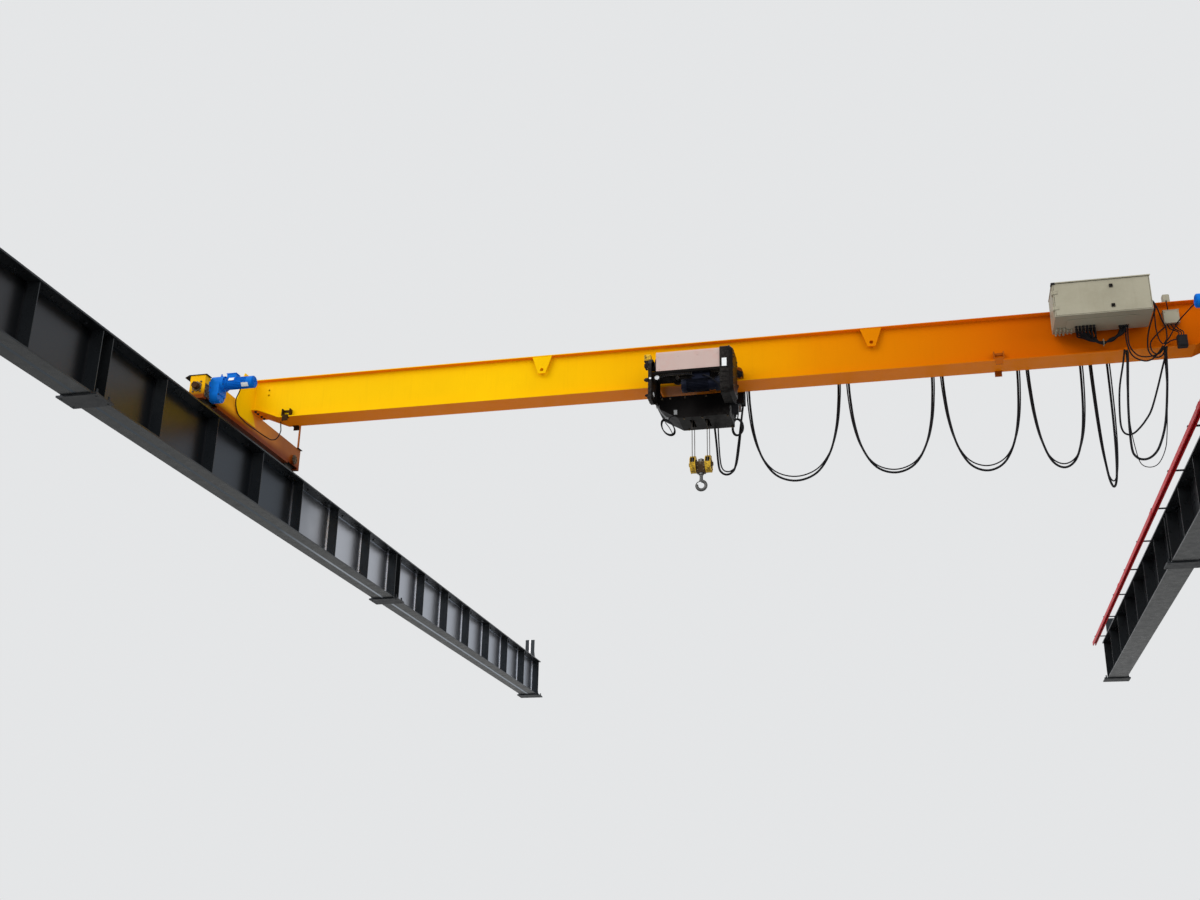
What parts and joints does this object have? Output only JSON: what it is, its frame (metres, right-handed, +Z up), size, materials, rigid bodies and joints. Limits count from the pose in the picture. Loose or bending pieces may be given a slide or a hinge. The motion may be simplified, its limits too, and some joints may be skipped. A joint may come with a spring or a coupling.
{
  "type": "overhead bridge crane",
  "caption": "Top-running overhead bridge crane: box girder on end carriages, two runway beams, low-headroom rope hoist with hook block, control cabinet and festoon cable.",
  "frame": {"origin": "middle of the underside of the bearing plate under the left runway beam, at the support nearest the bridge", "axes": "+X along the bridge to the right rail, +Y along the runway, away from the hoist's drum side, +Z up"},
  "size_m": [12.48, 25.2, 2.088],
  "materials": {
    "runway_paint": "near-black blue-grey paint, semi-gloss",
    "rail_steel": "rolled steel, lightly rusted, bright on the head",
    "plate_steel": "dark grey primer",
    "conductor_red": "red plastic shroud",
    "hanger_steel": "dark paint",
    "girder_yellow": "signal yellow paint, semi-gloss",
    "carriage_orange": "signal yellow paint with grime",
    "buffer_rubber": "dark brown rubber",
    "drive_blue": "blue paint, gloss",
    "cabinet_grey": "beige-grey powder coat",
    "track_zinc": "galvanised",
    "collector_dark": "dark plastic and steel",
    "wheel_steel": "machined steel",
    "hoist_black": "black paint, semi-gloss",
    "cover_white": "off-white sheet, dusty",
    "motor_blue_black": "very dark blue paint",
    "electrics_dark": "dark grey powder coat",
    "drum_steel": "greased steel",
    "wire_rope": "greased wire rope",
    "block_dark": "dark steel",
    "block_yellow": "yellow paint",
    "sheave_steel": "cast steel",
    "hook_steel": "forged steel, worn bright",
    "carrier_black": "black plastic and steel",
    "stop_brown": "dark brown paint, dusty",
    "cable_black": "black rubber sheath"
  },
  "bodies": {
    "runway": {"runway_beams_left": "runway_paint", "runway_beams_right": "runway_paint", "crane_rail_left": "rail_steel", "crane_rail_right": "rail_steel", "end_stops": "runway_paint", "bearing_plates": "plate_steel", "conductor_bar": "conductor_red", "conductor_hangers": "hanger_steel"},
    "bridge": {"bridge_girder": "girder_yellow", "girder_brackets": "girder_yellow", "trolley_stops": "stop_brown", "end_carriage_left": "carriage_orange", "end_carriage_right": "carriage_orange", "carriage_buffers": "buffer_rubber", "travel_gearboxes": "drive_blue", "travel_motors": "drive_blue", "control_cabinet": "cabinet_grey", "festoon_track": "track_zinc", "collector_arm": "collector_dark", "festoon_cables": "cable_black", "bridge_cable": "cable_black"},
    "cabinet_door": {"cabinet_door": "cabinet_grey"},
    "bridge_wheel_1": {"bridge_wheel_1": "wheel_steel"},
    "bridge_wheel_2": {"bridge_wheel_2": "wheel_steel"},
    "bridge_wheel_3": {"bridge_wheel_3": "wheel_steel"},
    "bridge_wheel_4": {"bridge_wheel_4": "wheel_steel"},
    "trolley": {"hoist_frame": "hoist_black", "hoist_gearbox": "hoist_black", "drum_cover": "cover_white", "hoist_motor": "motor_blue_black", "hoist_electrics": "electrics_dark", "trolley_drive": "hoist_black", "tow_arm": "carrier_black", "rope_falls": "wire_rope", "hoist_cable": "cable_black"},
    "rope_drum": {"rope_drum": "drum_steel"},
    "trolley_wheel_1": {"trolley_wheel_1": "wheel_steel"},
    "trolley_wheel_2": {"trolley_wheel_2": "wheel_steel"},
    "trolley_wheel_3": {"trolley_wheel_3": "wheel_steel"},
    "trolley_wheel_4": {"trolley_wheel_4": "wheel_steel"},
    "hook_block": {"hook_block": "block_dark", "sheave_covers": "block_yellow"},
    "hook_sheaves": {"hook_sheaves": "sheave_steel"},
    "hook": {"hook": "hook_steel"},
    "cable_carrier_0": {"cable_carrier_0": "carrier_black"},
    "cable_carrier_1": {"cable_carrier_1": "carrier_black"},
    "cable_carrier_2": {"cable_carrier_2": "carrier_black"},
    "cable_carrier_3": {"cable_carrier_3": "carrier_black"},
    "cable_carrier_4": {"cable_carrier_4": "carrier_black"}
  },
  "joints": [
    {"name": "bridge_travel", "type": "slide", "parent": "runway", "child": "bridge", "axis": [0, 1, 0], "range_m": [-10.02, 11.62]},
    {"name": "cabinet_door_hinge", "type": "hinge", "parent": "bridge", "child": "cabinet_door", "pos_m": [10.001, 2.772, 1.5575], "axis": [0, 0, 1], "range_deg": [-120, 0]},
    {"name": "trolley_travel", "type": "slide", "parent": "bridge", "child": "trolley", "axis": [1, 0, 0], "range_m": [-4.75, 2.85], "deforming": ["festoon_cables"]},
    {"name": "hook_lift", "type": "slide", "parent": "trolley", "child": "hook_block", "axis": [0, 0, 1], "range_m": [-6.5, 0.3], "deforming": ["rope_falls"]},
    {"name": "drum_turn", "type": "hinge", "parent": "trolley", "child": "rope_drum", "pos_m": [5.9, 2.9, 1.18], "axis": [1, 0, 0], "continuous": true},
    {"name": "sheave_turn", "type": "hinge", "parent": "hook_block", "child": "hook_sheaves", "pos_m": [5.95, 3.4, 0.123], "axis": [1, 0, 0], "continuous": true},
    {"name": "hook_swivel", "type": "hinge", "parent": "hook_block", "child": "hook", "pos_m": [5.95, 3.4, 0.1], "axis": [0, 0, 1], "continuous": true},
    {"name": "bridge_wheel_1_turn", "type": "hinge", "parent": "bridge", "child": "bridge_wheel_1", "pos_m": [0, 2.275, 1.0053], "axis": [1, 0, 0], "continuous": true},
    {"name": "bridge_wheel_2_turn", "type": "hinge", "parent": "bridge", "child": "bridge_wheel_2", "pos_m": [0, 4.525, 1.0053], "axis": [1, 0, 0], "continuous": true},
    {"name": "bridge_wheel_3_turn", "type": "hinge", "parent": "bridge", "child": "bridge_wheel_3", "pos_m": [12, 2.275, 1.0053], "axis": [1, 0, 0], "continuous": true},
    {"name": "bridge_wheel_4_turn", "type": "hinge", "parent": "bridge", "child": "bridge_wheel_4", "pos_m": [12, 4.525, 1.0053], "axis": [1, 0, 0], "continuous": true},
    {"name": "trolley_wheel_1_turn", "type": "hinge", "parent": "trolley", "child": "trolley_wheel_1", "pos_m": [5.715, 3.2, 1.1543], "axis": [0, 1, 0], "continuous": true},
    {"name": "trolley_wheel_2_turn", "type": "hinge", "parent": "trolley", "child": "trolley_wheel_2", "pos_m": [6.225, 3.2, 1.1543], "axis": [0, 1, 0], "continuous": true},
    {"name": "trolley_wheel_3_turn", "type": "hinge", "parent": "trolley", "child": "trolley_wheel_3", "pos_m": [5.715, 3.6, 1.1543], "axis": [0, 1, 0], "continuous": true},
    {"name": "trolley_wheel_4_turn", "type": "hinge", "parent": "trolley", "child": "trolley_wheel_4", "pos_m": [6.225, 3.6, 1.1543], "axis": [0, 1, 0], "continuous": true},
    {"name": "carrier_4_slide", "type": "slide", "parent": "bridge", "child": "cable_carrier_4", "axis": [1, 0, 0], "range_m": [-0.105, 0.067]},
    {"name": "carrier_3_slide", "type": "slide", "parent": "cable_carrier_4", "child": "cable_carrier_3", "axis": [1, 0, 0], "range_m": [-0.865, 0.523]},
    {"name": "carrier_2_slide", "type": "slide", "parent": "cable_carrier_3", "child": "cable_carrier_2", "axis": [1, 0, 0], "range_m": [-1.15, 0.694]},
    {"name": "carrier_1_slide", "type": "slide", "parent": "cable_carrier_2", "child": "cable_carrier_1", "axis": [1, 0, 0], "range_m": [-1.245, 0.751]},
    {"name": "carrier_0_slide", "type": "slide", "parent": "cable_carrier_1", "child": "cable_carrier_0", "axis": [1, 0, 0], "range_m": [-1.435, 0.865]}
  ],
  "couplings": [
    {"joint": "drum_turn", "follows": "hook_lift", "rad_per_m": -40},
    {"joint": "sheave_turn", "follows": "hook_lift", "rad_per_m": -22.2},
    {"joint": "bridge_wheel_1_turn", "follows": "bridge_travel", "rad_per_m": -8},
    {"joint": "bridge_wheel_2_turn", "follows": "bridge_travel", "rad_per_m": -8},
    {"joint": "bridge_wheel_3_turn", "follows": "bridge_travel", "rad_per_m": -8},
    {"joint": "bridge_wheel_4_turn", "follows": "bridge_travel", "rad_per_m": -8},
    {"joint": "trolley_wheel_1_turn", "follows": "trolley_travel", "rad_per_m": 18.182},
    {"joint": "trolley_wheel_2_turn", "follows": "trolley_travel", "rad_per_m": 18.182},
    {"joint": "trolley_wheel_3_turn", "follows": "trolley_travel", "rad_per_m": 18.182},
    {"joint": "trolley_wheel_4_turn", "follows": "trolley_travel", "rad_per_m": 18.182},
    {"joint": "carrier_4_slide", "follows": "trolley_travel", "ratio": 0.02},
    {"joint": "carrier_3_slide", "follows": "trolley_travel", "ratio": 0.18},
    {"joint": "carrier_2_slide", "follows": "trolley_travel", "ratio": 0.24},
    {"joint": "carrier_1_slide", "follows": "trolley_travel", "ratio": 0.26},
    {"joint": "carrier_0_slide", "follows": "trolley_travel", "ratio": 0.3}
  ]
}
